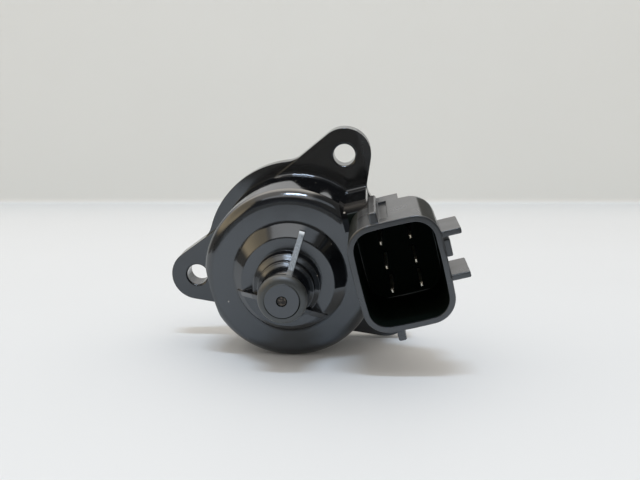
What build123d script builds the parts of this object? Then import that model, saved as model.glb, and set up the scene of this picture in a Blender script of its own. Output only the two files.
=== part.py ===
from build123d import *
import math
import os

os.makedirs("parts", exist_ok=True)

# An idle air control valve: a moulded housing with a stepper motor that screws a pintle in and out.
# Lengths are in millimetres and angles in degrees. The motor axis is Y: the cap faces -Y and the
# pintle points to +Y. A height is measured from the flange's mounting face towards the cap, so what
# stands out of the mounting face on the valve side has a negative height.

# How the valve lies on a table: its roll about the motor axis.
rest_roll = 14.6

# Clearances
seat_gap = 0.05
running_gap = 0.06
insert_gap = 0.03
air_gap = 0.40

# Flange and ears
disc_radius = 22.6
disc_thick = 3.6
ear_thick = 5.3
ear_angles = (50.6, 179.0, -49.0)
ear_pitch_radii = (26.9, 26.2, 26.6)
ear_root_radii = ((18.0, 14.2), (16.5, 16.5), (14.2, 18.0))
ear_tip_radius = 6.4
ear_hole_radius = 2.6
ear_hole_round = 0.5
ear_blend = 5.5
ear_fillet = 0.8

# Barrel
barrel_radius = 19.5
barrel_wall = 2.5
face_height = 25.0
cap_round = 3.0
barrel_flat = 1.2
end_wall = 2.0

# Collar, stepped boss and its gussets on the cap
collar_base_radius = 12.55
collar_top_radius = 10.2
collar_rise = 4.0
boss_radii = (7.3, 6.1, 5.2)
boss_steps = (3.0, 1.8, 7.4)
tip_round = 1.5
pad_radius = 3.65
pad_rise = 0.2
gate_radius = 1.1
gate_depth = 0.3
gusset_width = 1.2
gusset_reach = 11.6
gusset_top = 5.2
gusset_end = 1.1
gusset_count = 3

# Connector: bridge block, shroud, keys and lock
bridge_reach = 0.8
bridge_step = 0.6
shroud_width = 19.0
shroud_height = 22.8
shroud_bow = 0.35
shroud_corner = 5.2
shroud_wall = 1.2
shroud_length = 21.6
shroud_rear = 4.6
shroud_rear_round = 3.2
shroud_offset = 5.2
socket_depth = 18.0
web_end = 2.5
web_depth = 2.6
key_width = 1.65
key_height = 2.2
key_offset = -2.8
key_setback = 0.35
key_length = 16.9
key_round = 0.4
groove_width = 1.7
groove_depth = 0.5
groove_setback = 3.3
groove_length = 15.6
lug_reach = 3.7
lug_thick = 1.25
lug_length = 10.2
lug_levels = (6.2, -2.9)
lug_round = 0.3
lock_reach = 1.2
lock_level = 3.1
lock_width = 3.6
lock_length = 4.5
lock_setback = 1.0

# Terminals
terminal_thick = 0.64
terminal_width = 1.0
terminal_bevel = 0.2
terminal_recess = 7.8
column_offset = 0.25
column_pitch = 6.2
row_pitch = 5.3
leg_cover = 0.8
leg_step = 1.0
leg_reach = 2.0

# Stator
chamber_lip = 2.5
stator_clear = 1.8
plate_thick = 0.9
rotor_bore_radius = 7.7
claw_thick = 0.9
claw_clear = 0.6
claw_count = 6
claw_angle = 21.0
can_wall = 1.0
spool_wall = 0.7
winding_cover = 1.3

# Rotor and its bearings
magnet_wall = 2.9
journal_radius = 3.0
rear_bush_wall = 1.15
rear_bush_length = 4.8
washer_thick = 0.8
washer_radius = 5.6
bearing_radius = 6.5
bearing_width = 3.0
ball_radius = 0.75
ball_count = 7
race_wall = 0.85
cage_wall = 0.6
cage_half_height = 1.1

# Pintle
screw_radius = 2.0
screw_flat = 0.45
screw_tail = 3.3
screw_seat_depth = 4.0
travel = 8.0
seat_radius = 8.4
seat_thick = 0.6
cone_radius = 7.0
cone_tip_radius = 2.2
cone_length = 9.8
cone_flange = 1.4

# Nose plate with its spigot, seal and guide
nose_thick = 2.2
spigot_radius = 12.5
spigot_length = 7.0
ring_wire_radius = 0.95
ring_groove_width = 2.3
ring_groove_setback = 2.6
tube_radius = 6.0
tube_length = 5.0
guide_wall = 1.4
guide_length = 5.5

# Spring
spring_wire_radius = 0.5
spring_turns = 4.0

# Heights that several pieces share
plateau_height = face_height + collar_rise
tip_height = plateau_height + sum(boss_steps)
mouth_height = face_height - shroud_rear + shroud_length
shroud_base = face_height - shroud_rear
socket_floor = mouth_height - socket_depth
chamber_top = face_height - end_wall
stator_low = nose_thick
unit_height = (shroud_base - stator_clear - stator_low) / 2
claw_length = unit_height - 2 * plate_thick - claw_clear
stator_mid = stator_low + unit_height
stator_high = stator_mid + unit_height
bearing_high = nose_thick - 0.1
bearing_low = bearing_high - bearing_width
nose_end = -spigot_length - tube_length
head_back = nose_end - 1.0

# Radii that several pieces share
shroud_x = barrel_radius + shroud_offset
shroud_half_width = shroud_width / 2
shroud_half_height = shroud_height / 2
bridge_x = barrel_radius + bridge_reach
bridge_half_height = shroud_half_height + bridge_step
bore_radius = barrel_radius - barrel_wall
chamber_radius = bore_radius - chamber_lip
leg_end_radius = chamber_radius - leg_reach
can_radius = bore_radius - seat_gap
winding_radius = can_radius - can_wall - seat_gap - winding_cover
magnet_radius = rotor_bore_radius - air_gap
hub_radius = magnet_radius - magnet_wall
bush_radius = journal_radius + running_gap + rear_bush_wall
screw_hole_radius = screw_radius + running_gap
guide_radius = screw_hole_radius + guide_wall
screw_tail_height = tip_height - screw_tail


def layer(sketch, low, high):
    # A sketch seen from the cap side, drawn up from one height to another.
    return extrude(Plane.XZ.offset(low) * sketch, amount=high - low)


def turned(points, rounds=()):
    # A solid of revolution about the motor axis from (radius, height) points, where each round
    # names the corner that it eases and its radius.
    outline = Polygon(*[(radius, -height) for radius, height in points], align=None)
    for radius, height, size in rounds:
        corner = outline.vertices().sort_by_distance((radius, -height, 0))[0]
        outline = fillet(corner, size)
    return revolve(outline, axis=Axis.Y)


def tube(outer, inner, low, high):
    # A plain ring between two heights.
    return layer(Circle(outer) - Circle(inner), low, high)


def block(x_low, x_high, z_low, z_high, low, high):
    # A square-edged block, given across, up and along the axis.
    across = Pos((x_low + x_high) / 2, (z_low + z_high) / 2)
    return layer(across * Rectangle(x_high - x_low, z_high - z_low), low, high)


def ear_sketch(number):
    # An ear's outline: a round tip joined by straight sides, each tangent to a circle about the axis.
    pitch = ear_pitch_radii[number]
    roots = []
    tips = []
    for root, way in zip(ear_root_radii[number], (1, -1)):
        side = math.acos((root - ear_tip_radius) / pitch)
        roots.append((root * math.cos(side), way * root * math.sin(side)))
        tips.append((pitch + ear_tip_radius * math.cos(side), way * ear_tip_radius * math.sin(side)))
    edges = [Line(roots[0], tips[0]), ThreePointArc(tips[0], (pitch + ear_tip_radius, 0), tips[1]),
             Line(tips[1], roots[1]), Line(roots[1], roots[0])]
    return Rot(0, 0, ear_angles[number]) * make_face(edges)


def hollow_sketch(edge):
    # The section of a hollow fillet on a corner, with its straight wall at the given distance.
    out = edge + ear_fillet
    high = ear_thick + ear_fillet
    bend = ear_fillet * math.sqrt(0.5)
    edges = [ThreePointArc((out, -ear_thick), (out - bend, bend - high), (edge, -high)),
             Line((edge, -high), (edge - ear_fillet, -high)),
             Line((edge - ear_fillet, -high), (edge - ear_fillet, -ear_thick + ear_fillet)),
             Line((edge - ear_fillet, -ear_thick + ear_fillet), (out, -ear_thick + ear_fillet)),
             Line((out, -ear_thick + ear_fillet), (out, -ear_thick))]
    return make_face(edges)


def make_hollow(number, side):
    # The hollow where an ear's front face runs up into the barrel and into the bridge beside it.
    ring = revolve(hollow_sketch(barrel_radius), axis=Axis.Y)
    bar = extrude(hollow_sketch(bridge_half_height), amount=-side * bridge_x).rotate(Axis.Y, -90 * side)
    return (ring + bar) & layer(ear_sketch(number), 0, face_height)


def shroud_sketch(inset):
    # The connector's outline: a rounded rectangle whose four sides bow outwards a little.
    across = shroud_half_width - inset
    up = shroud_half_height - inset
    x = across - shroud_bow
    z = up - shroud_bow
    corners = [(x, -z), (x, z), (-x, z), (-x, -z)]
    middles = [(across, 0), (0, up), (-across, 0), (0, -up)]
    sides = [ThreePointArc(corners[i], middles[i], corners[(i + 1) % 4]) for i in range(4)]
    outline = make_face(sides)
    return Pos(shroud_x, 0) * fillet(outline.vertices(), shroud_corner - inset)


def eased_block(x_low, x_high, z_low, z_high, low, high, size):
    # A block with all its edges rounded.
    solid = block(x_low, x_high, z_low, z_high, low, high)
    return fillet(solid.edges(), size)


def terminal(column, row, grow):
    # An L-shaped terminal: a blade in the socket and a leg through the base into the coil chamber.
    x = shroud_x + column_offset + (column - 0.5) * column_pitch
    z = (1 - row) * row_pitch
    leg = shroud_base + leg_cover + (1 - column) * leg_step
    half_thick = terminal_thick / 2 + grow
    half_width = terminal_width / 2 + grow
    tip = mouth_height - terminal_recess
    blade = block(x - half_thick, x + half_thick, z - half_width, z + half_width, leg - half_thick, tip)
    blade = chamfer(blade.faces().sort_by(Axis.Y)[0].edges(), terminal_bevel)
    arm = block(leg_end_radius, x + half_thick, z - half_width, z + half_width,
                leg - half_thick, leg + half_thick)
    return blade + arm


def make_housing():
    # The cap end, turned: barrel, collar and stepped boss with the moulding's gate mark at its tip.
    step_1 = plateau_height + boss_steps[0]
    step_2 = step_1 + boss_steps[1]
    rim = tip_height - pad_rise
    spot = tip_height - gate_depth
    body = turned(
        [(0, 0), (barrel_radius, 0), (barrel_radius, face_height), (collar_base_radius, face_height),
         (collar_top_radius, plateau_height), (boss_radii[0], plateau_height), (boss_radii[0], step_1),
         (boss_radii[1], step_1), (boss_radii[1], step_2), (boss_radii[2], step_2),
         (boss_radii[2], rim), (pad_radius, rim), (pad_radius, tip_height), (gate_radius, tip_height),
         (gate_radius, spot), (0, spot)],
        [(barrel_radius, face_height, cap_round), (collar_base_radius, face_height, 0.7),
         (collar_top_radius, plateau_height, 0.35), (boss_radii[0], step_1, 0.3),
         (boss_radii[1], step_2, 0.3), (boss_radii[2], rim, tip_round)])
    flat = barrel_radius - barrel_flat
    body -= block(-barrel_radius - 1, -flat, -barrel_radius, barrel_radius, ear_thick, face_height + 1)

    # The gussets run from the boss down to the collar's slope, and stand proud of the collar's edge.
    top = tip_height - gusset_top
    slope = (collar_base_radius - gusset_reach) / (collar_base_radius - collar_top_radius)
    foot = face_height + slope * collar_rise + gusset_end
    web = Polygon((0, -top), (boss_radii[2], -top), (gusset_reach, -foot),
                  (gusset_reach, -face_height + 1), (0, -face_height + 1), align=None)
    gusset = extrude(web, amount=gusset_width / 2, both=True)
    for number in range(gusset_count):
        body += gusset.rotate(Axis.Y, 180 - number * 360 / gusset_count)

    # The flange: a disc with three ears, whose front faces stand forward of it.
    outline = Rot(0, 0, ear_angles[0]) * Circle(disc_radius)
    for number in range(3):
        outline += ear_sketch(number)
    flange = layer(outline, 0, disc_thick)
    joins = [e for e in flange.edges().filter_by(Axis.Y)
             if abs(math.hypot(e.center().X, e.center().Z) - disc_radius) < 0.05]
    body += fillet(joins, ear_blend)
    for number in range(3):
        body += layer(ear_sketch(number), 0, ear_thick)

    # The bridge block, the connector shroud and the web that carries it.
    half = shroud_half_height
    bridge = block(barrel_radius * 0.6, bridge_x, -bridge_half_height, bridge_half_height, 0, face_height)
    rims = bridge.edges().filter_by(Axis.X).group_by(Axis.Y)[0]
    body += fillet(rims, cap_round)
    for number, side in ((0, 1), (2, -1)):
        body += make_hollow(number, side)
    outline = shroud_sketch(0)
    shroud = layer(outline, shroud_base, mouth_height)
    shroud = fillet(shroud.faces().sort_by(Axis.Y)[-1].edges(), shroud_rear_round)
    body += fillet(shroud.faces().sort_by(Axis.Y)[0].edges(), 0.35)
    web = block(bridge_x - 1, shroud_x + web_end, -half, half, shroud_base - web_depth, face_height)
    body += web & layer(outline, shroud_base - web_depth, face_height)

    # Keys above and below the shroud, lock lugs and the lock tooth on its far side.
    key_x = shroud_x + key_offset
    key_top = mouth_height - key_setback
    for side in (1, -1):
        levels = sorted((side * (half - 0.5), side * (half + key_height)))
        body += eased_block(key_x - key_width / 2, key_x + key_width / 2, levels[0], levels[1],
                            key_top - key_length, key_top, key_round)
    far = shroud_x + shroud_half_width
    for level in lug_levels:
        body += eased_block(far - 0.8, far + lug_reach, level - lug_thick / 2, level + lug_thick / 2,
                            mouth_height - lug_length, mouth_height - 0.3, lug_round)
    lock_top = mouth_height - lock_setback
    body += eased_block(far - 0.8, far + lock_reach, lock_level - lock_width / 2, lock_level + lock_width / 2,
                        lock_top - lock_length, lock_top, lug_round)
    groove_x = key_x + key_width / 2 + 0.1
    groove_top = mouth_height - groove_setback
    body -= block(groove_x, groove_x + groove_width, half - groove_depth, half + 1,
                  groove_top - groove_length, groove_top)

    # The socket, the coil chamber, the rear bearing pocket and the screw's way into the boss.
    body -= layer(shroud_sketch(shroud_wall), socket_floor, mouth_height + 1)
    body -= turned(
        [(0, -1), (bore_radius, -1), (bore_radius, stator_high), (chamber_radius, stator_high),
         (chamber_radius, chamber_top), (bush_radius, chamber_top),
         (bush_radius, chamber_top + rear_bush_length), (screw_radius + 0.6, chamber_top + rear_bush_length),
         (screw_radius + 0.6, screw_tail_height + 1), (0, screw_tail_height + 1)])
    for column in (0, 1):
        for row in (0, 1, 2):
            body -= terminal(column, row, insert_gap)

    # The ear holes, eased at the front where a screw enters.
    for angle, pitch in zip(ear_angles, ear_pitch_radii):
        place = Rot(0, 0, angle) * Pos(pitch, 0)
        body -= layer(place * Circle(ear_hole_radius), -1, ear_thick + 1)
    rings = [e for e in body.edges().filter_by(GeomType.CIRCLE)
             if abs(e.radius - ear_hole_radius) < 0.01 and abs(e.center().Y + ear_thick) < 0.01]
    return fillet(rings, ear_hole_round)


def claw_ring(low, high, start):
    # Claw poles that stand along the rotor's bore, spread evenly from a starting angle.
    far = 2 * rotor_bore_radius
    half = math.radians(claw_angle / 2)
    wedge = Polygon((0, 0), (far * math.cos(half), -far * math.sin(half)),
                    (far * math.cos(half), far * math.sin(half)), align=None)
    pole = (Circle(rotor_bore_radius + claw_thick) - Circle(rotor_bore_radius)) & wedge
    ring = layer(Rot(0, 0, start) * pole, low, high)
    for number in range(1, claw_count):
        ring += layer(Rot(0, 0, start + number * 360 / claw_count) * pole, low, high)
    return ring


def make_yoke_cup(end, way):
    # A steel cup that closes one end of a coil: way is 1 where it opens towards the cap, else -1.
    wall = sorted((end, end + way * (unit_height - plate_thick)))
    disc = sorted((end, end + way * plate_thick))
    claws = sorted((end, end + way * (plate_thick + claw_length)))
    cup = tube(can_radius, can_radius - can_wall, wall[0], wall[1])
    cup += tube(can_radius, rotor_bore_radius, disc[0], disc[1])
    return cup + claw_ring(claws[0], claws[1], 0)


def make_yoke_plate(face, way):
    # The steel plate on the coil's inner end, with claws between those of the cup.
    disc = sorted((face, face - way * plate_thick))
    claws = sorted((face, face - way * (plate_thick + claw_length)))
    plate = tube(can_radius, rotor_bore_radius, disc[0], disc[1])
    return plate + claw_ring(claws[0], claws[1], 180 / claw_count)


def make_bobbin(low, high):
    # A moulded spool between a cup and a plate.
    inner = rotor_bore_radius + claw_thick + seat_gap
    waist = inner + spool_wall
    rim = can_radius - can_wall - seat_gap
    return turned([(inner, low), (rim, low), (rim, low + spool_wall), (waist, low + spool_wall),
                   (waist, high - spool_wall), (rim, high - spool_wall), (rim, high), (inner, high)])


def make_winding(low, high):
    # The copper coil on a spool, as one wound ring.
    waist = rotor_bore_radius + claw_thick + spool_wall + 2 * seat_gap
    return tube(winding_radius, waist, low + spool_wall + seat_gap, high - spool_wall - seat_gap)


def make_rotor_hub():
    # The nut that the screw runs in, with a journal at each end and a collar under the magnet.
    collar_low = bearing_high + seat_gap
    collar_high = stator_low + 1.0
    rear = chamber_top - washer_thick - running_gap
    tail = chamber_top + rear_bush_length - 0.3
    return turned([(screw_hole_radius, bearing_low), (journal_radius, bearing_low),
                   (journal_radius, collar_low), (hub_radius + 0.6, collar_low),
                   (hub_radius + 0.6, collar_high), (hub_radius, collar_high), (hub_radius, rear),
                   (journal_radius, rear), (journal_radius, tail), (screw_hole_radius, tail)])


def make_nose_plate():
    # The plate that closes the coil chamber, with the spigot, its seal groove and the pintle's tube.
    groove_low = -ring_groove_setback - ring_groove_width
    groove_radius = spigot_radius - 2 * ring_wire_radius + 0.2
    guide_top = nose_end + guide_length
    throat = screw_hole_radius + 0.5
    relief = bearing_radius - 1.4
    return turned(
        [(guide_radius, nose_end), (tube_radius, nose_end), (tube_radius, -spigot_length),
         (spigot_radius, -spigot_length), (spigot_radius, groove_low), (groove_radius, groove_low),
         (groove_radius, -ring_groove_setback), (spigot_radius, -ring_groove_setback), (spigot_radius, 0),
         (can_radius, 0), (can_radius, nose_thick), (bearing_radius, nose_thick),
         (bearing_radius, bearing_low), (relief, bearing_low), (relief, bearing_low - 1),
         (throat, bearing_low - 1), (throat, guide_top), (guide_radius, guide_top)],
        [(spigot_radius, -spigot_length, 0.6), (tube_radius, nose_end, 0.4)])


def d_sketch(radius, flat):
    # A round with a flat, which keeps the pintle from turning.
    return Circle(radius) - Pos(0, flat + radius) * Rectangle(2 * radius, 2 * radius)


def make_screw():
    # The pintle's shaft: threaded along the nut, and flatted where it runs through the guide.
    front = head_back - seat_thick - screw_seat_depth
    flat_top = nose_end + guide_length + travel + 0.5
    shaft = layer(Circle(screw_radius), flat_top, screw_tail_height)
    shaft += layer(d_sketch(screw_radius, screw_radius - screw_flat), front, flat_top)
    return chamfer(shaft.faces().sort_by(Axis.Y)[0].edges(), 0.3)


def make_cone():
    # The pintle's head, which meters the air at its seat.
    top = head_back - seat_thick
    waist = top - cone_flange
    tip = waist - cone_length
    hole = screw_radius + seat_gap
    hole_end = top - screw_seat_depth - seat_gap
    return turned([(hole, top), (cone_radius, top), (cone_radius, waist), (cone_tip_radius, tip),
                   (0, tip), (0, hole_end), (hole, hole_end)],
                  [(cone_tip_radius, tip, 0.8)])


def make_spring():
    # A round-wire coil spring between the spigot's end and the pintle's spring seat.
    start = spigot_length + spring_wire_radius + seat_gap
    length = -head_back - spring_wire_radius - seat_gap - start
    path = Helix(length / spring_turns, length, tube_radius + 0.8 + spring_wire_radius)
    wire = sweep((path ^ 0) * Circle(spring_wire_radius), path=path, is_frenet=True)
    return Pos(0, start, 0) * Rot(-90, 0, 0) * wire


def ring_of_wire(radius, wire_radius, height):
    # A ring of round section about the motor axis.
    return Pos(0, -height, 0) * Rot(90, 0, 0) * Torus(radius, wire_radius)


parts = {"housing": make_housing()}

for column in (0, 1):
    for row in (0, 1, 2):
        parts["terminal_" + str(1 + row + 3 * column)] = terminal(column, row, 0)

spool_span = plate_thick + seat_gap
for place, end, way in (("front", stator_low, 1), ("rear", stator_high, -1)):
    spool = sorted((end + way * spool_span, stator_mid - way * spool_span))
    parts[place + "_yoke_cup"] = make_yoke_cup(end, way)
    parts[place + "_yoke_plate"] = make_yoke_plate(stator_mid, way)
    parts[place + "_bobbin"] = make_bobbin(spool[0], spool[1])
    parts[place + "_winding"] = make_winding(spool[0], spool[1])

parts["rotor_magnet"] = tube(magnet_radius, hub_radius + seat_gap, stator_low + 1.0, stator_high - 1.0)
parts["rotor_hub"] = make_rotor_hub()
parts["rear_bush"] = tube(bush_radius - insert_gap, journal_radius + running_gap,
                          chamber_top, chamber_top + rear_bush_length)
parts["thrust_washer"] = tube(washer_radius, journal_radius + 0.2, chamber_top - washer_thick, chamber_top)

ball_pitch_radius = (bearing_radius + journal_radius) / 2
ball_height = (bearing_low + bearing_high) / 2
track = ring_of_wire(ball_pitch_radius, ball_radius + seat_gap, ball_height)
inner_land = journal_radius + insert_gap
outer_land = bearing_radius - insert_gap
parts["bearing_inner_race"] = tube(inner_land + race_wall + 0.3, inner_land, bearing_low, bearing_high) - track
parts["bearing_outer_race"] = tube(outer_land, outer_land - race_wall - 0.3, bearing_low, bearing_high) - track
cage = tube(ball_pitch_radius + cage_wall / 2, ball_pitch_radius - cage_wall / 2,
            ball_height - cage_half_height, ball_height + cage_half_height)
for number in range(ball_count):
    spoke = Rot(0, number * 360 / ball_count, 0) * Pos(ball_pitch_radius, 0, 0)
    place = Pos(0, -ball_height, 0) * spoke
    cage -= place * Rot(0, 90, 0) * Cylinder(ball_radius + seat_gap, 2 * cage_wall)
    parts["bearing_ball_" + str(number + 1)] = place * Sphere(ball_radius)
parts["bearing_cage"] = cage

parts["nose_plate"] = make_nose_plate()
ring_radius = spigot_radius - ring_wire_radius + 0.25
parts["seal_ring"] = ring_of_wire(ring_radius, ring_wire_radius,
                                  -ring_groove_setback - ring_groove_width / 2)
guide_hole = d_sketch(screw_hole_radius, screw_radius - screw_flat + running_gap)
parts["guide_bush"] = layer(Circle(guide_radius - insert_gap) - guide_hole, nose_end, nose_end + guide_length)
parts["lead_screw"] = make_screw()
parts["spring_seat"] = tube(seat_radius, screw_radius + seat_gap, head_back - seat_thick, head_back)
parts["valve_cone"] = make_cone()
parts["pintle_spring"] = make_spring()

for name, solid in parts.items():
    export_step(solid.rotate(Axis.Y, -rest_roll), "parts/" + name + ".step")
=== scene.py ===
import math

import bpy
from mathutils import Matrix, Vector


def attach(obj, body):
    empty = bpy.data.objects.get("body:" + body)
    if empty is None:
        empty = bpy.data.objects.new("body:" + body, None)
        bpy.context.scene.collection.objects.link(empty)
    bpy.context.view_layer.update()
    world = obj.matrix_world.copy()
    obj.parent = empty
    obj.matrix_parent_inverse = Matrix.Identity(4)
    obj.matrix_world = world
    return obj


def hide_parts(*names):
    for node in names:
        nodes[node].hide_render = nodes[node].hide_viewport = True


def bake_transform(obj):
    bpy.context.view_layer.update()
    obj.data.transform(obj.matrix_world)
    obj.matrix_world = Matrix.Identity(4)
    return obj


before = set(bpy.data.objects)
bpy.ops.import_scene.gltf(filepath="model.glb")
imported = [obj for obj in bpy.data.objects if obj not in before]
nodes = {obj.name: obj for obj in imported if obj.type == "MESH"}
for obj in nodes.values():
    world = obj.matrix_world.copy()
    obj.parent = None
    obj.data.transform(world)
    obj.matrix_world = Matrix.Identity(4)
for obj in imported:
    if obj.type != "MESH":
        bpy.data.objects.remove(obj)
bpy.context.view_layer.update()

scene = bpy.context.scene
mm = 0.001
waveUnit = 0.314  # the scale at which a wave texture repeats once a unit

bpy.ops.object.select_all(action="DESELECT")
print("frame loaded:", len(nodes), "nodes")


def hexColor(code):  # sRGB hex to the linear colour that shaders take
    parts = [int(code[i:i + 2], 16) / 255 for i in (1, 3, 5)]
    linear = [p / 12.92 if p <= 0.04045 else ((p + 0.055) / 1.055) ** 2.4 for p in parts]
    return (*linear, 1.0)


def addNode(tree, kind, settings=None, inputs=None):  # one node with its settings, values and links
    node = tree.nodes.new(kind)
    for name, value in (settings or {}).items():
        setattr(node, name, value)
    for key, value in (inputs or {}).items():
        if isinstance(value, bpy.types.NodeSocket):
            tree.links.new(value, node.inputs[key])
        else:
            node.inputs[key].default_value = value
    return node


def newMaterial(name, fixed):  # a material, its shader with the fixed values set, and Object coordinates
    material = bpy.data.materials.new(name)
    material.use_nodes = True
    tree = material.node_tree
    shader = tree.nodes["Principled BSDF"]
    for key, value in fixed.items():
        shader.inputs[key].default_value = value
    place = addNode(tree, "ShaderNodeTexCoord").outputs["Object"]
    return material, tree, shader, place


def dress(material, *names):
    for name in names:
        nodes[name].data.materials.clear()
        nodes[name].data.materials.append(material)


def wire(tree, shader, color, rough, normal):  # links what every finish ends in
    for key, socket in (("Base Color", color), ("Roughness", rough), ("Normal", normal)):
        tree.links.new(socket, shader.inputs[key])


def math2(tree, operation, first, second=0.0):
    return addNode(tree, "ShaderNodeMath", {"operation": operation}, {0: first, 1: second}).outputs["Value"]


def times(tree, first, *others):  # the product of masks and values
    for other in others:
        first = math2(tree, "MULTIPLY", first, other)
    return first


def vectorMath(tree, operation, inputs, output="Vector"):
    return addNode(tree, "ShaderNodeVectorMath", {"operation": operation}, inputs).outputs[output]


def axesOf(tree, vector):
    return addNode(tree, "ShaderNodeSeparateXYZ", None, {"Vector": vector}).outputs


def mixColor(tree, factor, first, second):  # colours are hex codes or sockets
    first, second = (hexColor(c) if isinstance(c, str) else c for c in (first, second))
    return addNode(tree, "ShaderNodeMix", {"data_type": "RGBA"},
                   {"Factor": factor, "A": first, "B": second}).outputs["Result"]


def mixValue(tree, factor, first, second):
    return addNode(tree, "ShaderNodeMix", {"data_type": "FLOAT"},
                   {"Factor": factor, "A": first, "B": second}).outputs["Result"]


def dimColor(tree, factor, color, share):  # the colour, times share where the factor is 1
    return addNode(tree, "ShaderNodeMix", {"data_type": "RGBA", "blend_type": "MULTIPLY"},
                   {"Factor": factor, "A": color, "B": (share, share, share, 1.0)}).outputs["Result"]


def noise(tree, place, size, **more):  # cloudy grains about size mm across
    return addNode(tree, "ShaderNodeTexNoise", None,
                   {"Vector": place, "Scale": 1 / (size * mm), **more}).outputs["Fac"]


def cells(tree, place, size):  # random cells about size mm across
    return addNode(tree, "ShaderNodeTexVoronoi", None, {"Vector": place, "Scale": 1 / (size * mm)})


def chanceOf(tree, cell):  # one random number for each cell
    return addNode(tree, "ShaderNodeSeparateColor", None, {"Color": cell.outputs["Color"]}).outputs["Red"]


def waves(tree, place, profile, pitch, **more):  # rings along the motor axis, pitch mm apart
    return addNode(tree, "ShaderNodeTexWave", {"bands_direction": "Y", "wave_profile": profile},
                   {"Vector": place, "Scale": waveUnit / (pitch * mm), **more}).outputs["Fac"]


def ramp(tree, value, source=(0.0, 1.0), target=(0.0, 1.0)):
    return addNode(tree, "ShaderNodeMapRange", None,
                   {"Value": value, "From Min": source[0], "From Max": source[1],
                    "To Min": target[0], "To Max": target[1]}).outputs["Result"]


def softStep(tree, value, low, high):
    return addNode(tree, "ShaderNodeMapRange", {"interpolation_type": "SMOOTHSTEP"},
                   {"Value": value, "From Min": low, "From Max": high}).outputs["Result"]


def above(tree, value, edge, soft):  # 0 below the edge and 1 above it, both in mm
    return softStep(tree, value, (edge - soft) * mm, (edge + soft) * mm)


def below(tree, value, edge, soft):
    return math2(tree, "SUBTRACT", 1.0, above(tree, value, edge, soft))


def between(tree, value, low, high, soft=0.03):
    return math2(tree, "SUBTRACT", above(tree, value, low, soft), above(tree, value, high, soft))


def bumped(tree, height, strength, depth, normal=None):  # depth in mm
    inputs = {"Strength": strength, "Distance": depth * mm, "Height": height}
    if normal is not None:
        inputs["Normal"] = normal
    return addNode(tree, "ShaderNodeBump", None, inputs).outputs["Normal"]


# The camera stands where the photograph was taken from: focal length in pixels, angles in degrees, spot in mm.
view = {"focal": 749.0, "width": 640, "sensor": 36, "nearest": 5.0, "yaw": -3.64, "pitch": 14.94,
        "spot": (16.79, -182.91, 50.89)}
yaw, pitch = math.radians(view["yaw"]), math.radians(view["pitch"])
ahead = Vector((math.sin(yaw) * math.cos(pitch), math.cos(yaw) * math.cos(pitch), -math.sin(pitch)))
right = Vector((math.cos(yaw), -math.sin(yaw), 0))
lens = bpy.data.cameras.new("camera")
lens.sensor_width = view["sensor"]
lens.lens = view["focal"] / view["width"] * view["sensor"]
lens.clip_start = view["nearest"] * mm
camera = bpy.data.objects.new("camera", lens)
scene.collection.objects.link(camera)
turn = Matrix((right, right.cross(ahead), -ahead)).transposed().to_4x4()
camera.matrix_world = Matrix.Translation(Vector(view["spot"]) * mm) @ turn
scene.camera = camera
print("camera set")


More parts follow.
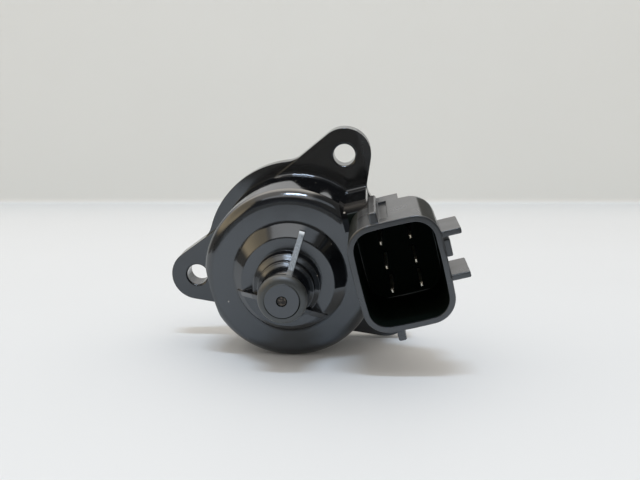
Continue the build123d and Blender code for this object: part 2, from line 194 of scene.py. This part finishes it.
# Black glass-filled PBT, injection moulded: the rounds and slopes are polished and mirror the room, the flat faces of
# the cap are duller and greyer, and the connector is satin with a black socket. Faint flow streaks and a little dust
# break up the reflections. Painted light: the upper gusset's rough cut edge is painted pale as a highlight with a
# glint at its end, a pale highlight line is painted along the socket's floor edge, one grain is a painted glint, and
# reflections are dimmed as painted shade in the socket, the ring groove, the gate and the bridge.
plastic = {
    # Colours, and what tints the reflections, with a dim tint that paints shade
    "black": "#08090b", "face": "#22262a", "tip": "#242622", "padFace": "#262a2f", "satin": "#1a1c1e",
    "socket": "#0b120f", "socketEdgeHighlight": "#70777b", "gussetHighlight": "#8b949a", "gussetGlint": "#dfe8ee", "dustAndGlint": "#a8a59e",
    "mirror": "#eef6ff", "paintedShade": "#202020",
    # Roughness
    "gloss": 0.09, "faceRough": 0.17, "tipRough": 0.48, "padRough": 0.34, "satinRough": 0.3, "socketRough": 0.65,
    "scuffRough": 0.5, "streakRough": (-0.03, 0.05),
    # Sizes of the patterns and depths of the bumps, in mm
    "streak": 9.0, "grain": 0.22, "speck": 2.2, "edge": 0.25, "fleckSoft": 0.1, "grainDepth": 0.04,
    "grainBump": (0.06, 0.6), "wave": (0.05, 0.3),
    # Rings on the part: inner and outer radius, low and high, in mm, and how far their shading leans
    "collar": (10.1, 12.6, 25.05, 28.95), "barrel": (18.6, 19.7, 4.5, 24.4), "boss": (3.0, 7.5, 29.03, 39.0),
    "collarTilt": 0.474, "barrelTilt": 0.07, "bossTilt": 0.22, "shoulderTilt": 1.2,
    # Edges of the other finishes and how soft they are, in mm
    "capFrom": (24.7, 0.1), "tipFrom": (39.3, 0.5), "tipOutside": (3.5, 0.1), "padFrom": (40.8, 0.1),
    "padWithin": (3.53, 0.06), "groove": (3.53, 3.79), "grooveFrom": (40.3, 0.2), "grooveUnder": (0.3, 2.2),
    "gateWithin": (1.13, 0.05), "gateFrom": (39.3, 0.2), "shroudFrom": (25.4, 0.15), "shroudLeft": (13.5, 0.3),
    "connectorFrom": (21.2, 0.6), "bridge": (14.5, 21.2, 7.0, 13.5, 19.0, 25.3), "shroudX": 24.7,
    "socketWide": (8.9, 0.12), "socketTall": (10.8, 0.12), "socketFrom": (23.8, 0.1), "socketTo": (41.5, 0.3),
    # Where the pale highlight line is painted along the socket's floor edge
    "highlightUnder": (24.4, 0.15), "highlightWide": (8.2, 0.15), "highlightTall": (10.1, 0.15),
    # The upper gusset: which way it points, how its edge falls, and where its painted highlight and glint lie
    "roll": 14.6, "gussetWay": (0.5, 0.866), "gussetFall": 1.294, "gussetEdge": (42.53, 0.1),
    "gussetFrom": (5.2, 0.2), "gussetTo": (12.0, 0.1), "gussetHalf": (0.65, 0.05), "gussetEnd": (11.2, 0.3),
    # Single grains of dust, the last a painted glint where the cap's rim meets the connector: across, height, up and
    # size
    "flecksAndGlint": ((-14.98, 25.0, -2.35, 0.15), (5.23, 13.15, 18.78, 0.1), (9.49, 11.66, 17.03, 0.1),
               (7.08, 31.96, 0.95, 0.09), (15.29, 24.08, 11.16, 0.22))}


def findPlaces(tree, local):  # where each finish of the housing lies
    axes = axesOf(tree, local)
    across, upward = axes["X"], axes["Z"]
    height = math2(tree, "MULTIPLY", axes["Y"], -1.0)
    flat = addNode(tree, "ShaderNodeCombineXYZ", None, {"X": across, "Z": upward}).outputs["Vector"]
    radius = vectorMath(tree, "LENGTH", {0: flat}, "Value")
    facing = axesOf(tree, addNode(tree, "ShaderNodeNewGeometry").outputs["Normal"])["Y"]

    at = {"front": ramp(tree, facing, (-0.93, -0.985))}
    at["cap"] = times(tree, at["front"], above(tree, height, *plastic["capFrom"]))
    for ring in ("collar", "barrel", "boss"):
        at[ring] = times(tree, between(tree, radius, *plastic[ring][:2]), between(tree, height, *plastic[ring][2:]))
    at["bridge"] = times(tree, between(tree, across, *plastic["bridge"][:2]),
                         between(tree, upward, *plastic["bridge"][2:4]),
                         between(tree, height, *plastic["bridge"][4:]))

    shroud = times(tree, above(tree, height, *plastic["shroudFrom"]), above(tree, across, *plastic["shroudLeft"]))
    at["connector"] = math2(tree, "MAXIMUM", shroud, above(tree, across, *plastic["connectorFrom"]))
    aside = math2(tree, "ABSOLUTE", math2(tree, "SUBTRACT", across, plastic["shroudX"] * mm))
    aloft = math2(tree, "ABSOLUTE", upward)
    deep = math2(tree, "SUBTRACT", above(tree, height, *plastic["socketFrom"]),
                 above(tree, height, *plastic["socketTo"]))
    at["socket"] = times(tree, below(tree, aside, *plastic["socketWide"]),
                         below(tree, aloft, *plastic["socketTall"]), deep)
    # a pale line painted as a highlight where the socket's walls meet its floor
    rim = math2(tree, "MAXIMUM", above(tree, aside, *plastic["highlightWide"]), above(tree, aloft, *plastic["highlightTall"]))
    at["socketEdgeHighlight"] = times(tree, at["socket"], below(tree, height, *plastic["highlightUnder"]), rim)

    at["tip"] = times(tree, above(tree, height, *plastic["tipFrom"]),
                      math2(tree, "SUBTRACT", 1.0, at["connector"]), above(tree, radius, *plastic["tipOutside"]))
    at["pad"] = times(tree, at["front"], above(tree, height, *plastic["padFrom"]),
                      below(tree, radius, *plastic["padWithin"]))
    groove = times(tree, between(tree, radius, *plastic["groove"]), above(tree, height, *plastic["grooveFrom"]),
                   below(tree, upward, *plastic["grooveUnder"]))
    gate = times(tree, below(tree, radius, *plastic["gateWithin"]), above(tree, height, *plastic["gateFrom"]))
    at["groove"] = math2(tree, "MAXIMUM", groove, gate)

    wayX, wayZ = plastic["gussetWay"]
    along = math2(tree, "ADD", math2(tree, "MULTIPLY", across, wayX), math2(tree, "MULTIPLY", upward, wayZ))
    off = math2(tree, "SUBTRACT", math2(tree, "MULTIPLY", upward, wayX), math2(tree, "MULTIPLY", across, wayZ))
    edge = math2(tree, "ADD", height, math2(tree, "MULTIPLY", along, plastic["gussetFall"]))
    # its top edge, painted pale as a highlight, and a painted glint at its outer end
    at["gussetHighlight"] = times(tree, above(tree, edge, *plastic["gussetEdge"]), above(tree, along, *plastic["gussetFrom"]),
                        below(tree, math2(tree, "ABSOLUTE", off), *plastic["gussetHalf"]),
                        below(tree, along, *plastic["gussetTo"]))
    at["gussetGlint"] = times(tree, at["gussetHighlight"], above(tree, along, *plastic["gussetEnd"]))
    return at


def leanNormal(tree, place, at):  # rounded moulded edges, and slopes that mirror the room as in the photograph
    rounded = addNode(tree, "ShaderNodeBevel", {"samples": 4}, {"Radius": plastic["edge"] * mm}).outputs["Normal"]
    tilt = 0.0
    for ring in ("collar", "barrel", "boss"):
        tilt = math2(tree, "ADD", tilt, math2(tree, "MULTIPLY", at[ring], -plastic[ring + "Tilt"]))
    backward = addNode(tree, "ShaderNodeCombineXYZ", None, {"Y": tilt}).outputs["Vector"]
    outward = vectorMath(tree, "NORMALIZE", {0: vectorMath(tree, "MULTIPLY", {0: place, 1: (1.0, 0.0, 1.0)})})
    shoulder = times(tree, at["boss"], at["front"], plastic["shoulderTilt"])
    outward = vectorMath(tree, "SCALE", {0: outward, "Scale": shoulder})
    lean = vectorMath(tree, "ADD", {0: vectorMath(tree, "ADD", {0: rounded, 1: backward}), 1: outward})
    return vectorMath(tree, "NORMALIZE", {0: lean})


def findDust(tree, local):  # fine specks by chance, and single grains
    speck = cells(tree, local, plastic["speck"])
    dot = ramp(tree, speck.outputs["Distance"], (0.03, 0.055), (0.5, 0.0))
    dustAndGlintMask = times(tree, dot, math2(tree, "GREATER_THAN", chanceOf(tree, speck), 0.9))
    # the last grain is a painted glint where the cap's rim meets the connector
    for x, h, z, size in plastic["flecksAndGlint"]:
        gap = vectorMath(tree, "DISTANCE", {0: local, 1: (x * mm, -h * mm, z * mm)}, "Value")
        dustAndGlintMask = math2(tree, "MAXIMUM", dustAndGlintMask, below(tree, gap, size, plastic["fleckSoft"]))
    return dustAndGlintMask


def makePlastic():
    material, tree, shader, place = newMaterial("blackPbtMoulded", {"IOR": 1.58, "Specular IOR Level": 1.0})
    local = addNode(tree, "ShaderNodeMapping", {"vector_type": "TEXTURE"},
                    {"Vector": place, "Rotation": (0, math.radians(-plastic["roll"]), 0)}).outputs["Vector"]
    at = findPlaces(tree, local)
    flow = noise(tree, local, plastic["streak"], Detail=4.0, Distortion=1.2)
    grain = noise(tree, local, plastic["grain"], Detail=3.0)

    glitter = ramp(tree, grain, (0.4, 0.62), (0.35, 1.0))
    # the gusset's edge and its end, the socket's floor edge and one grain are painted highlights
    color = plastic["black"]
    for mask, name in ((at["cap"], "face"), (at["tip"], "tip"), (at["pad"], "padFace"), (at["groove"], "socket"),
                       (at["connector"], "satin"), (at["socket"], "socket"), (at["socketEdgeHighlight"], "socketEdgeHighlight"),
                       (times(tree, at["gussetHighlight"], glitter), "gussetHighlight"), (at["gussetGlint"], "gussetGlint"),
                       (findDust(tree, local), "dustAndGlint")):
        color = mixColor(tree, mask, color, plastic[name])

    rough = plastic["gloss"]
    worn = math2(tree, "MAXIMUM", at["gussetHighlight"], at["bridge"])
    for mask, name in ((at["cap"], "faceRough"), (at["tip"], "tipRough"), (at["pad"], "padRough"),
                       (at["connector"], "satinRough"), (at["socket"], "socketRough"), (worn, "scuffRough")):
        rough = mixValue(tree, mask, rough, plastic[name])
    rough = math2(tree, "ADD", rough, ramp(tree, flow, (0.35, 0.7), plastic["streakRough"]))

    # Painted shade: the reflections are dimmed in the socket, the ring groove, the gate and the bridge by the
    # connector
    paintedShade = math2(tree, "MAXIMUM", at["bridge"], math2(tree, "MAXIMUM", at["socket"], at["groove"]))
    tree.links.new(mixColor(tree, paintedShade, plastic["mirror"], plastic["paintedShade"]), shader.inputs["Specular Tint"])

    grainBump = mixValue(tree, at["gussetHighlight"], *plastic["grainBump"])
    normal = bumped(tree, grain, grainBump, plastic["grainDepth"], leanNormal(tree, place, at))
    wire(tree, shader, color, rough, bumped(tree, flow, *plastic["wave"], normal))
    return material


dress(makePlastic(), "housing")
print("housing dressed")


# The gate's stub: the plastic torn off in the recess at the boss's tip, dark and ragged with paler tears.
stub = {"radius": 0.99, "depth": 0.22, "floor": 40.9, "sunk": 0.03, "sides": 24, "inset": 0.25, "sink": 0.07,
        "smooth": 0.2, "ragged": 0.05, "uniform": 0.6, "seed": 4, "crease": 50.0,
        "black": "#020202", "torn": "#524c45", "grit": 0.45, "bump": (0.9, 0.08)}


def makeTorn():
    material, tree, shader, place = newMaterial("tornPbtStub", {"IOR": 1.58, "Roughness": 0.6})
    grit = noise(tree, place, stub["grit"], Detail=4.0, Roughness=0.7)
    color = mixColor(tree, ramp(tree, grit, (0.5, 0.6)), stub["black"], stub["torn"])
    tree.links.new(color, shader.inputs["Base Color"])
    tree.links.new(bumped(tree, grit, *stub["bump"]), shader.inputs["Normal"])
    return material


def makeStub():
    bpy.ops.object.select_all(action="DESELECT")
    middle = -(stub["floor"] - stub["sunk"] + stub["depth"] / 2) * mm
    bpy.ops.mesh.primitive_cylinder_add(vertices=stub["sides"], radius=stub["radius"] * mm, depth=stub["depth"] * mm,
                                        location=(0, middle, 0), rotation=(math.radians(90), 0, 0))
    piece = bpy.context.object
    piece.name = "gateStub"
    bpy.ops.object.transform_apply(location=True, rotation=True, scale=True)
    for face in piece.data.polygons:
        face.select = face.normal.y < -0.9
    bpy.ops.object.mode_set(mode="EDIT")
    bpy.ops.mesh.inset(thickness=stub["inset"] * mm)
    bpy.ops.mesh.inset(thickness=stub["inset"] * mm, depth=-stub["sink"] * mm)
    bpy.ops.mesh.select_all(action="SELECT")
    bpy.ops.mesh.vertices_smooth(factor=stub["smooth"])
    bpy.ops.transform.vertex_random(offset=stub["ragged"] * mm, uniform=stub["uniform"], seed=stub["seed"])
    bpy.ops.mesh.normals_make_consistent(inside=False)
    bpy.ops.object.mode_set(mode="OBJECT")
    bpy.ops.object.shade_smooth_by_angle(angle=math.radians(stub["crease"]))
    piece.data.materials.append(makeTorn())
    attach(piece, "housing_body")
    piece.select_set(False)


makeStub()
print("gate stub made")


# Tin-plated brass strip, stamped: bright and slightly warm, with fine lines along the blade.
tin = {"bright": "#dcd8cc", "warm": "#b9a577", "line": 0.12, "drawn": 0.08, "patch": 1.6,
       "rough": (0.2, 0.42), "bump": (0.15, 0.02)}


def makeTin():
    material, tree, shader, place = newMaterial("tinnedBrassStrip", {"Metallic": 1.0})
    drawn = addNode(tree, "ShaderNodeMapping", None, {"Vector": place, "Scale": (1.0, tin["drawn"], 1.0)})
    line = noise(tree, drawn.outputs["Vector"], tin["line"], Detail=2.0)
    worn = ramp(tree, noise(tree, place, tin["patch"], Detail=3.0), (0.5, 0.75), (0.0, 0.7))
    wire(tree, shader, mixColor(tree, worn, tin["bright"], tin["warm"]),
         ramp(tree, line, target=tin["rough"]), bumped(tree, line, *tin["bump"]))
    return material


dress(makeTin(), *["terminal_" + str(i) for i in range(1, 7)])


# Zinc-plated sheet steel, pressed: pale grey metal with a soft bluish spangle.
zinc = {"light": "#c3c7ca", "dark": "#8d9399", "spangle": 2.4, "haze": 0.5, "rough": (0.26, 0.5), "bump": (0.1, 0.03)}


def makeZinc():
    material, tree, shader, place = newMaterial("zincPlatedSteel", {"Metallic": 1.0})
    tone = chanceOf(tree, cells(tree, place, zinc["spangle"]))
    haze = noise(tree, place, zinc["haze"], Detail=4.0)
    wire(tree, shader, mixColor(tree, tone, zinc["light"], zinc["dark"]),
         ramp(tree, haze, target=zinc["rough"]), bumped(tree, haze, *zinc["bump"]))
    return material


dress(makeZinc(), "front_yoke_cup", "front_yoke_plate", "rear_yoke_cup", "rear_yoke_plate")


# Natural PBT, moulded: warm white and slightly waxy, with cloudy flow.
spool = {"pale": "#e7e1cf", "cloud": "#d3cab1", "flow": 5.0, "rough": (0.36, 0.56), "bump": (0.08, 0.1)}
# Acetal guide: a little yellower and slicker than the spools.
guide = {"pale": "#ded3b2", "cloud": "#c6b88f", "flow": 2.5, "rough": (0.28, 0.48), "bump": (0.08, 0.1)}


def makePaleMoulding(name, look):
    material, tree, shader, place = newMaterial(name, {"IOR": 1.5})
    flow = noise(tree, place, look["flow"], Detail=4.0, Distortion=0.8)
    wire(tree, shader, mixColor(tree, flow, look["pale"], look["cloud"]),
         ramp(tree, flow, target=look["rough"]), bumped(tree, flow, *look["bump"]))
    return material


dress(makePaleMoulding("naturalPbtSpool", spool), "front_bobbin", "rear_bobbin")
dress(makePaleMoulding("acetalGuide", guide), "guide_bush")


# Enamelled copper wire, wound in layers: red-brown gloss in fine rings. The wire is 0.16 mm and is drawn at 0.4 mm,
# so that the rings show.
copper = {"light": "#c9743a", "dark": "#7a3312", "pitch": 0.4, "rough": (0.5, 0.25), "bump": (0.8, 0.1)}


def makeCopper():
    material, tree, shader, place = newMaterial("enamelledCopperWire", {"Metallic": 0.9, "Coat Weight": 0.5,
                                                                        "Coat Roughness": 0.15})
    turns = waves(tree, place, "SIN", copper["pitch"], Distortion=0.4, Detail=1.0)
    wire(tree, shader, mixColor(tree, turns, copper["dark"], copper["light"]),
         ramp(tree, turns, target=copper["rough"]), bumped(tree, turns, *copper["bump"]))
    return material


dress(makeCopper(), "front_winding", "rear_winding")


# Sintered ferrite, ground: dark grey, dull and finely pitted.
ferrite = {"dark": "#29282a", "light": "#47464a", "grit": 0.35, "rough": (0.45, 0.75), "bump": (0.3, 0.06)}


def makeFerrite():
    material, tree, shader, place = newMaterial("sinteredFerrite", {"IOR": 2.0})
    grit = noise(tree, place, ferrite["grit"], Detail=6.0, Roughness=0.7)
    wire(tree, shader, mixColor(tree, grit, ferrite["dark"], ferrite["light"]),
         ramp(tree, grit, target=ferrite["rough"]), bumped(tree, grit, *ferrite["bump"]))
    return material


dress(makeFerrite(), "rotor_magnet")


# Turned metals share one build: fine tool rings along the motor axis over a cloudy colour.
# Turned bronze: warm yellow-brown.
bronze = {"light": "#c39a55", "dark": "#8f6a33", "pitch": 0.3, "cloud": 1.2, "rough": (0.28, 0.42),
          "bump": (0.12, 0.03)}
# Bright steel: cool and clean.
steel = {"light": "#cfd0d1", "dark": "#9a9c9f", "pitch": 0.25, "cloud": 2.0, "rough": (0.24, 0.38),
         "bump": (0.12, 0.03)}
# Bearing steel: polished, near a mirror.
raceSteel = {"light": "#dfe0e1", "dark": "#b4b6b9", "pitch": 0.2, "cloud": 3.0, "rough": (0.1, 0.24),
             "bump": (0.12, 0.03)}
# Die-cast aluminium, turned on the spigot: pale and dull.
aluminium = {"light": "#c9cac9", "dark": "#a3a5a6", "pitch": 0.35, "cloud": 1.5, "rough": (0.33, 0.47),
             "bump": (0.12, 0.03)}


def makeTurnedMetal(name, look):
    material, tree, shader, place = newMaterial(name, {"Metallic": 1.0})
    rings = waves(tree, place, "SAW", look["pitch"], Distortion=0.6, Detail=2.0)
    cloud = noise(tree, place, look["cloud"], Detail=5.0)
    wire(tree, shader, mixColor(tree, cloud, look["light"], look["dark"]),
         ramp(tree, cloud, (0.3, 0.7), look["rough"]), bumped(tree, rings, *look["bump"]))
    return material


brightSteel = makeTurnedMetal("brightSteel", steel)
dress(brightSteel, "thrust_washer", "spring_seat", "lead_screw")
dress(makeTurnedMetal("turnedBronze", bronze), "rotor_hub", "rear_bush")
dress(makeTurnedMetal("polishedBearingSteel", raceSteel), "bearing_inner_race", "bearing_outer_race",
      "bearing_cage", *["bearing_ball_" + str(i) for i in range(1, 8)])
dress(makeTurnedMetal("castAluminium", aluminium), "nose_plate")


# The coil spring between the nose and the pintle's seat, made again as one wire in place of the CAD's coil, which is
# rigid and is hidden.
coil = {"radius": 7.3, "wire": 0.5, "start": 7.55, "rise": 4.9, "turns": 4, "around": 14, "steps": 160,
        "crease": 50.0}


def makeCoil():
    bpy.ops.object.select_all(action="DESELECT")
    bpy.ops.mesh.primitive_circle_add(vertices=coil["around"], radius=coil["wire"] * mm,
                                      location=(coil["radius"] * mm, coil["start"] * mm, 0))
    piece = bpy.context.object
    piece.name = "pintleCoil"
    bpy.ops.object.transform_apply(location=True, rotation=True, scale=True)
    bpy.ops.object.modifier_add(type="SCREW")
    screw = piece.modifiers[-1]
    screw.axis = "Y"
    screw.angle = coil["turns"] * 2 * math.pi
    screw.screw_offset = coil["rise"] * mm
    screw.steps = coil["steps"]
    screw.render_steps = coil["steps"]
    bpy.ops.object.modifier_apply(modifier=screw.name)
    bpy.ops.object.mode_set(mode="EDIT")
    bpy.ops.mesh.select_all(action="SELECT")
    bpy.ops.mesh.fill_holes(sides=0)
    bpy.ops.mesh.normals_make_consistent(inside=False)
    bpy.ops.object.mode_set(mode="OBJECT")
    bpy.ops.object.shade_smooth_by_angle(angle=math.radians(coil["crease"]))
    piece.data.materials.append(brightSteel)
    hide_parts("pintle_spring")
    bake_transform(piece)
    piece.select_set(False)


makeCoil()
print("pintle coil made")


# Nitrile rubber, moulded: near black and dull, with a grey bloom.
rubber = {"black": "#1b1b1c", "bloom": "#3b3b3b", "patch": 1.5, "fine": 0.2, "ior": 1.52, "rough": (0.45, 0.7),
          "bump": (0.15, 0.03)}
# Filled PPS, moulded: dark grey-brown with a low sheen.
cone = {"black": "#232426", "bloom": "#3a3733", "patch": 2.5, "fine": 0.2, "ior": 1.6, "rough": (0.28, 0.53),
        "bump": (0.15, 0.03)}


def makeDarkMoulding(name, look):
    material, tree, shader, place = newMaterial(name, {"IOR": look["ior"]})
    patch = noise(tree, place, look["patch"], Detail=5.0)
    fine = noise(tree, place, look["fine"], Detail=2.0)
    wire(tree, shader, mixColor(tree, ramp(tree, patch, (0.45, 0.75)), look["black"], look["bloom"]),
         ramp(tree, patch, target=look["rough"]), bumped(tree, fine, *look["bump"]))
    return material


dress(makeDarkMoulding("nitrileRubber", rubber), "seal_ring")
dress(makeDarkMoulding("filledPps", cone), "valve_cone")
print("inner pieces dressed")


# The table is tipped and turned so that the disc and the cap's rim both stand on it and it lies level in the picture.
# It bends up into a wall square to the camera.
stage = {"slope": 9.563, "turn": -0.61, "foot": (0, -3.6, -22.6), "far": 756.0, "near": 900.0, "half": 1500.0,
         "height": 300.0, "bend": 8.0, "segments": 10, "crease": 30.0, "level": 1.0,
         "table": "#e4ebf0", "wall": "#dadddb", "wallFrom": (2.0, 3.0), "mottle": 120.0, "dim": 0.97,
         "glow": 0.02, "glowSpan": (0.1, 0.75)}


def pick(piece, test):  # selects the vertices that pass the test and the edges between them, and no face
    taken = [test(vertex.co) for vertex in piece.data.vertices]
    for vertex, take in zip(piece.data.vertices, taken):
        vertex.select = take
    for edge in piece.data.edges:
        edge.select = all(taken[v] for v in edge.vertices)
    for face in piece.data.polygons:
        face.select = False


def makePaint():
    material, tree, shader, place = newMaterial("mattPaint", {"Roughness": 0.6, "Specular IOR Level": 0.3})
    axes = axesOf(tree, place)
    color = mixColor(tree, above(tree, axes["Z"], *stage["wallFrom"]), stage["table"], stage["wall"])
    color = dimColor(tree, noise(tree, place, stage["mottle"], Detail=3.0), color, stage["dim"])
    tree.links.new(color, shader.inputs["Base Color"])
    # The far table and the wall glow faintly, so they look paler to the eye and in the gloss.
    ray = addNode(tree, "ShaderNodeLightPath")
    seen = math2(tree, "MAXIMUM", ray.outputs["Is Camera Ray"], ray.outputs["Is Glossy Ray"])
    away = ramp(tree, axes["Y"], stage["glowSpan"], (0.0, stage["glow"]))
    tree.links.new(color, shader.inputs["Emission Color"])
    tree.links.new(times(tree, away, seen), shader.inputs["Emission Strength"])
    return material


def makeStage():
    slope = math.radians(stage["slope"])
    turned = Matrix.Rotation(math.radians(stage["turn"]), 3, "Y")
    normal = turned @ Vector((0, math.sin(slope), math.cos(slope)))
    depth = (ahead - ahead.dot(normal) * normal).normalized()
    bpy.ops.object.select_all(action="DESELECT")
    bpy.ops.mesh.primitive_plane_add(size=1)
    piece = bpy.context.object
    piece.name = "backdrop"
    span = (stage["far"] + stage["near"]) * mm
    piece.data.transform(Matrix.Diagonal((2 * stage["half"] * mm, span, 1, 1)))
    piece.data.transform(Matrix.Translation((0, (stage["far"] - stage["near"]) / 2 * mm, 0)))
    pick(piece, lambda spot: spot.y > 0)
    bpy.ops.object.mode_set(mode="EDIT")
    bpy.ops.mesh.extrude_region_move(TRANSFORM_OT_translate={"value": (0, 0, stage["height"] * mm)})
    bpy.ops.object.mode_set(mode="OBJECT")
    pick(piece, lambda spot: spot.y > 0 and spot.z < stage["level"] * mm)
    bpy.ops.object.mode_set(mode="EDIT")
    bpy.ops.mesh.bevel(offset=stage["bend"] * mm, segments=stage["segments"], affect="EDGES")
    bpy.ops.object.mode_set(mode="OBJECT")
    bpy.ops.object.shade_smooth_by_angle(angle=math.radians(stage["crease"]))
    stageAxes = Matrix((depth.cross(normal), depth, normal)).transposed().to_4x4()
    piece.matrix_world = Matrix.Translation(turned @ Vector(stage["foot"]) * mm) @ stageAxes
    piece.data.materials.append(makePaint())
    piece.select_set(False)


makeStage()


# A grey felt flag before the part, as in a studio: only the gloss sees it, and it keeps the ears and the cap's rim
# dark.
flag = {"away": 117.0, "half": 500.0, "low": -7.0, "high": 40.0, "felt": "#94928e", "fibre": 1.5, "dim": 0.7}


def makeFelt():
    material, tree, shader, place = newMaterial("greyFelt", {"Roughness": 0.95, "Specular IOR Level": 0.1})
    fibre = noise(tree, place, flag["fibre"], Detail=3.0)
    tree.links.new(dimColor(tree, fibre, hexColor(flag["felt"]), flag["dim"]), shader.inputs["Base Color"])
    return material


def makeFlag():
    bpy.ops.object.select_all(action="DESELECT")
    bpy.ops.mesh.primitive_plane_add(size=1, rotation=(math.radians(90), 0, 0))
    piece = bpy.context.object
    piece.name = "flag"
    bpy.ops.object.transform_apply(location=True, rotation=True, scale=True)
    piece.data.transform(Matrix.Diagonal((2 * flag["half"] * mm, 1, (flag["high"] - flag["low"]) * mm, 1)))
    piece.data.transform(Matrix.Translation((0, -flag["away"] * mm, (flag["high"] + flag["low"]) / 2 * mm)))
    piece.data.materials.append(makeFelt())
    piece.visible_camera = piece.visible_diffuse = piece.visible_shadow = False
    piece.select_set(False)


makeFlag()
print("table, wall and flag set")


# A cool strip overhead gives the crisp front and back edges of the shadows, and a wide dim panel before it the pale
# sheen on the slopes that face up. Sizes, spots and the point they aim at are in metres.
lamps = {"strip": {"size": (0.65, 0.11), "spot": (0.0, -0.42, 2.0), "power": 13.2, "color": "#dcecff"},
         "panel": {"size": (2.1, 0.45), "spot": (0.1, -0.68, 1.56), "power": 1.9, "color": "#f4f9ff"}}
lampAim = (0.008, -0.02, 0.0)

for name, lamp in lamps.items():
    light = bpy.data.lights.new(name, "AREA")
    light.shape = "RECTANGLE"
    light.size, light.size_y = lamp["size"]
    light.energy = lamp["power"]
    light.color = hexColor(lamp["color"])[:3]
    holder = bpy.data.objects.new(name, light)
    scene.collection.objects.link(holder)
    aim = Vector(lampAim) - Vector(lamp["spot"])
    holder.matrix_world = Matrix.Translation(lamp["spot"]) @ aim.to_track_quat("-Z", "Y").to_matrix().to_4x4()


# The room around is soft: warm and bright on the left, dark on the right, pale behind. Each span is where one side
# passes into the next, along one axis of the direction looked in.
room = {"ceiling": "#b0a89f", "left": "#e0c9a4", "leftHigh": "#ab9c84", "low": "#5e5a54", "front": "#3a3a3b",
        "right": "#323338", "back": "#9c9b9a", "backHigh": "#fff4e6", "upRight": "#4a4845",
        "fill": "#a09890", "pale": "#969594", "strength": 2.4,
        "leftSpan": (-0.53, -0.61), "rightSpan": (0.5, 0.6), "overheadSpan": (0.72, 0.85), "backSpan": (0.25, 0.45),
        "liftedSpan": (0.16, 0.32), "highSpan": (0.3, 0.7), "beyondSpan": (0.14, 0.34), "aloftSpan": (0.3, 0.45)}


def makeRoom():
    world = bpy.data.worlds.new("room")
    world.use_nodes = True
    tree = world.node_tree
    way = axesOf(tree, addNode(tree, "ShaderNodeTexCoord").outputs["Generated"])
    high = softStep(tree, way["Z"], *room["highSpan"])
    warm = mixColor(tree, softStep(tree, way["Z"], *room["liftedSpan"]), room["low"], room["left"])
    warm = mixColor(tree, high, warm, room["leftHigh"])
    tint = mixColor(tree, softStep(tree, way["X"], *room["leftSpan"]), room["front"], warm)
    tint = mixColor(tree, softStep(tree, way["X"], *room["rightSpan"]), tint, room["right"])
    tint = mixColor(tree, softStep(tree, way["Z"], *room["overheadSpan"]), tint, room["ceiling"])
    behind = mixColor(tree, high, room["back"], room["backHigh"])
    tint = mixColor(tree, softStep(tree, way["Y"], *room["backSpan"]), tint, behind)
    corner = times(tree, softStep(tree, way["X"], *room["beyondSpan"]), softStep(tree, way["Z"], *room["aloftSpan"]))
    tint = mixColor(tree, corner, tint, room["upRight"])
    # The gloss sees the room, the eye a pale wall, and all else an even fill.
    ray = addNode(tree, "ShaderNodeLightPath")
    tint = mixColor(tree, ray.outputs["Is Glossy Ray"], room["fill"], tint)
    tint = mixColor(tree, ray.outputs["Is Camera Ray"], tint, room["pale"])
    sky = tree.nodes["Background"]
    tree.links.new(tint, sky.inputs["Color"])
    sky.inputs["Strength"].default_value = room["strength"]
    return world


scene.world = makeRoom()
scene.view_settings.view_transform = "Standard"
print("light set")
